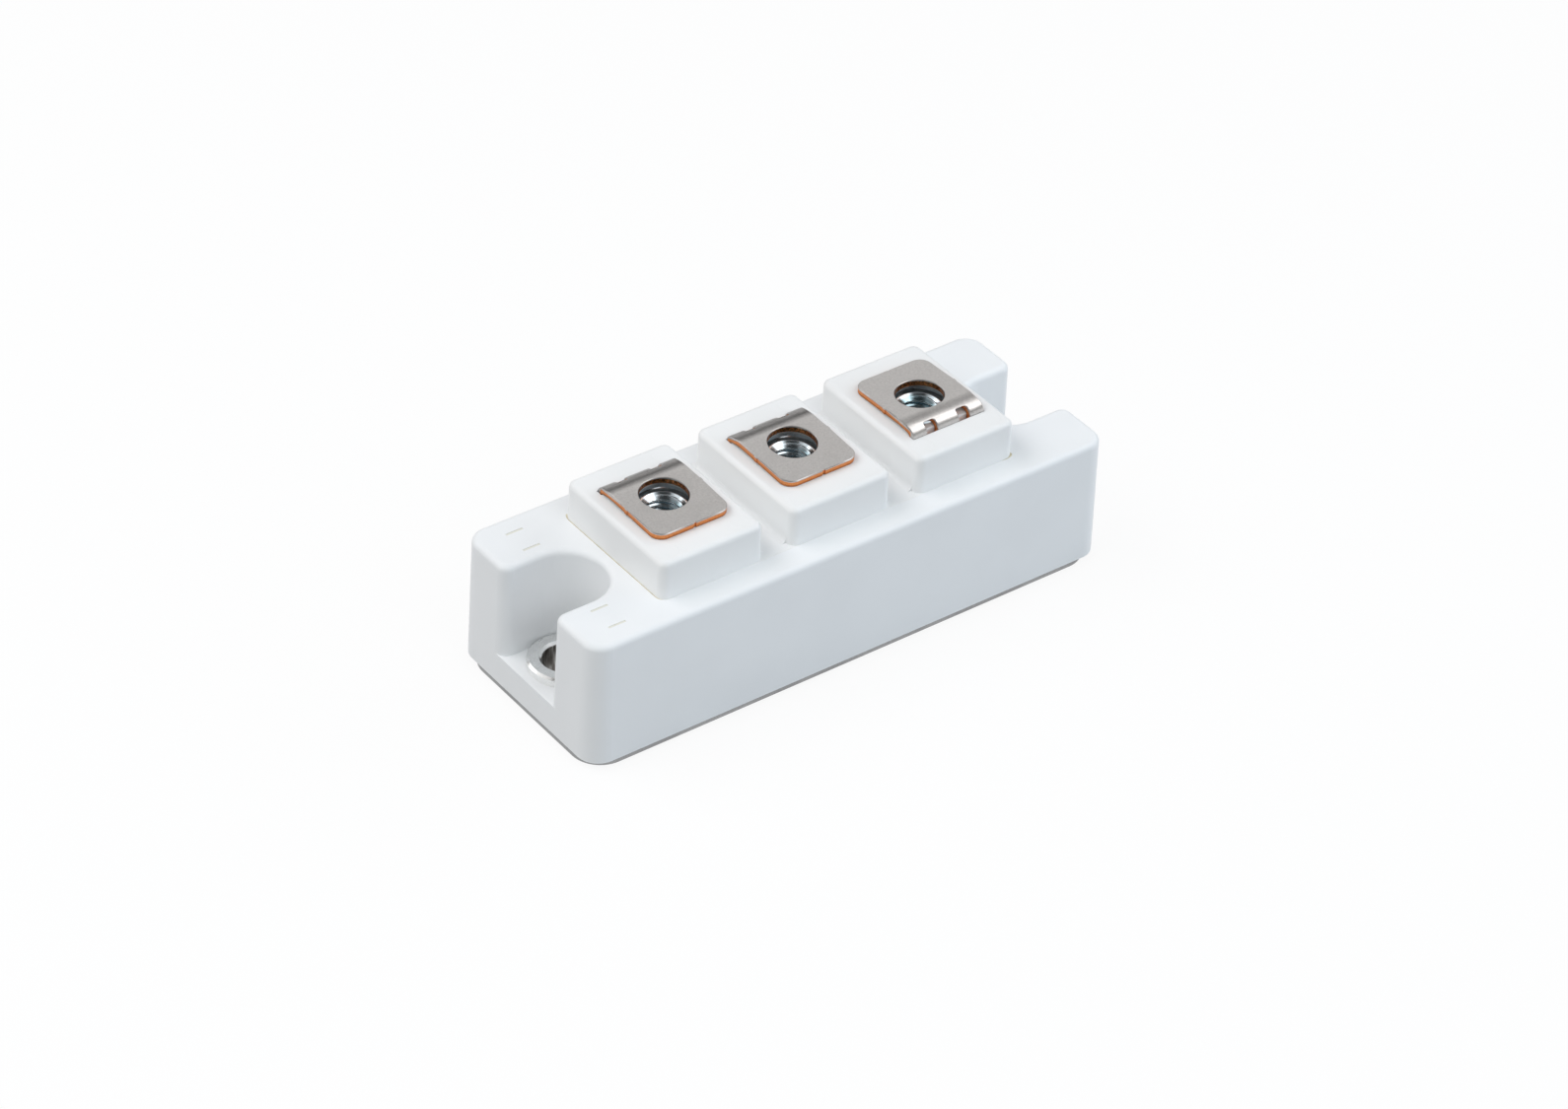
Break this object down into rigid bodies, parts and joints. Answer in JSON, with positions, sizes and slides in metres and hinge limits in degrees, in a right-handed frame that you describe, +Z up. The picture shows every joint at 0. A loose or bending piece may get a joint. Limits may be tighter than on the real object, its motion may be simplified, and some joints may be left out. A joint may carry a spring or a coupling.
{
  "type": "fast recovery diode module",
  "caption": "Flat white moulded diode module on a metal base plate, with an open screw slot at each end and bent screw terminals over captive nuts on raised pedestals.",
  "frame": {"origin": "centre of the mounting face, on the underside of the base plate", "axes": "+X along the package from the end with the four tab slits to the other end, +Y to the back, +Z up from the mounting face"},
  "size_m": [0.094, 0.034, 0.03],
  "materials": {
    "base_nickel": "satin nickel plating",
    "housing_white": "fine moulded satin",
    "block_white": "fine moulded satin",
    "adhesive": "cured adhesive",
    "bush_metal": "bright plated, turned",
    "nut_zinc": "blue-white zinc plating",
    "terminal_nickel": "satin nickel plating on copper strip",
    "solder": "dull solder",
    "copper": "bare copper foil",
    "substrate_ceramic": "unglazed alumina",
    "chip_silicon": "metallised silicon",
    "wire_aluminium": "drawn aluminium",
    "gel": "clear soft gel"
  },
  "bodies": {
    "root": {"base_plate": "base_nickel", "housing": "housing_white", "terminal_block": "block_white", "base_seal": "adhesive", "block_seal": "adhesive", "mounting_bushes": "bush_metal", "terminal_nuts": "nut_zinc", "terminal_1": "terminal_nickel", "terminal_2": "terminal_nickel", "terminal_3": "terminal_nickel", "terminal_solder": "solder", "left_substrate_solder": "solder", "left_back_foil": "copper", "left_ceramic": "substrate_ceramic", "left_circuit": "copper", "right_substrate_solder": "solder", "right_back_foil": "copper", "right_ceramic": "substrate_ceramic", "right_circuit": "copper", "chip_1": "chip_silicon", "chip_2": "chip_silicon", "chip_3": "chip_silicon", "chip_4": "chip_silicon", "chip_solder": "solder", "left_chip_wires": "wire_aluminium", "right_chip_wires": "wire_aluminium", "link_wires": "wire_aluminium", "gel_fill": "gel"}
  },
  "joints": []
}
